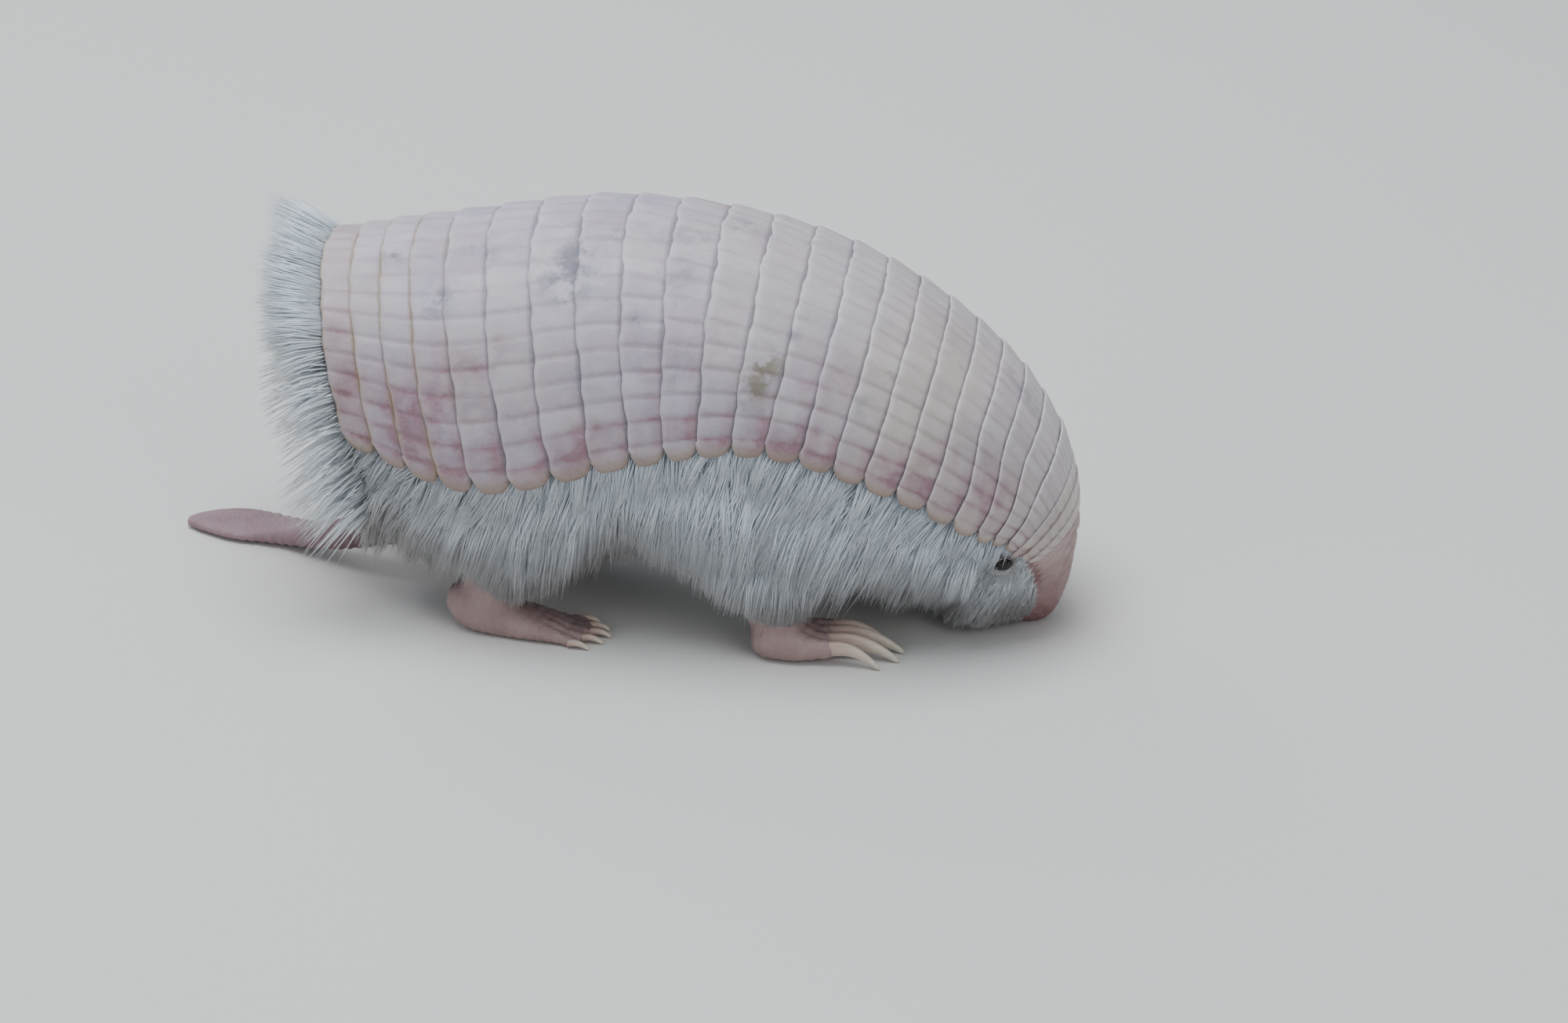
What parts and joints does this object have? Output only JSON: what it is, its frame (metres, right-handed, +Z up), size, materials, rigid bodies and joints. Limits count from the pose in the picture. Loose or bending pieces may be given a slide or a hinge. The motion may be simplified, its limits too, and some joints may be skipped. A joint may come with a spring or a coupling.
{
  "type": "pink fairy armadillo model",
  "caption": "Life-size still model of a pink fairy armadillo with banded pink armour, white silky fur, digging claws and a spoon-shaped tail, head bent down to the ground.",
  "frame": {"origin": "on the floor under the middle of the whole animal's bounding box", "axes": "+X from tail to head, +Y to the animal's left, +Z up"},
  "size_m": [0.1163, 0.0452, 0.0534],
  "materials": {
    "horn_pink": "satin, horny scutes over pink skin",
    "coat_white": "fine silky white fur",
    "bare_skin": "soft bare pink skin",
    "claw_horn": "smooth pale horn",
    "eye_black": "wet black"
  },
  "bodies": {
    "root": {"band_01": "horn_pink", "band_02": "horn_pink", "band_03": "horn_pink", "band_04": "horn_pink", "band_05": "horn_pink", "band_06": "horn_pink", "band_07": "horn_pink", "band_08": "horn_pink", "band_09": "horn_pink", "band_10": "horn_pink", "band_11": "horn_pink", "band_12": "horn_pink", "band_13": "horn_pink", "band_14": "horn_pink", "band_15": "horn_pink", "band_16": "horn_pink", "band_17": "horn_pink", "band_18": "horn_pink", "band_19": "horn_pink", "band_20": "horn_pink", "band_21": "horn_pink", "band_22": "horn_pink", "head_shield": "horn_pink", "rump_plate": "horn_pink", "trunk": "coat_white", "neck": "coat_white", "head": "coat_white", "hind_leg_left": "coat_white", "hind_leg_right": "coat_white", "fore_leg_left": "coat_white", "fore_leg_right": "coat_white", "fringe_right_low": "coat_white", "fringe_right_high": "coat_white", "fringe_top": "coat_white", "fringe_left_high": "coat_white", "fringe_left_low": "coat_white", "muzzle": "bare_skin", "nose": "bare_skin", "ear_left": "bare_skin", "ear_right": "bare_skin", "tail": "bare_skin", "hind_foot_left": "bare_skin", "hind_foot_right": "bare_skin", "fore_foot_left": "bare_skin", "fore_foot_right": "bare_skin", "fore_claw_left_1": "claw_horn", "fore_claw_left_2": "claw_horn", "fore_claw_left_3": "claw_horn", "fore_claw_left_4": "claw_horn", "fore_claw_right_1": "claw_horn", "fore_claw_right_2": "claw_horn", "fore_claw_right_3": "claw_horn", "fore_claw_right_4": "claw_horn", "eye_left": "eye_black", "eye_right": "eye_black"}
  },
  "joints": []
}
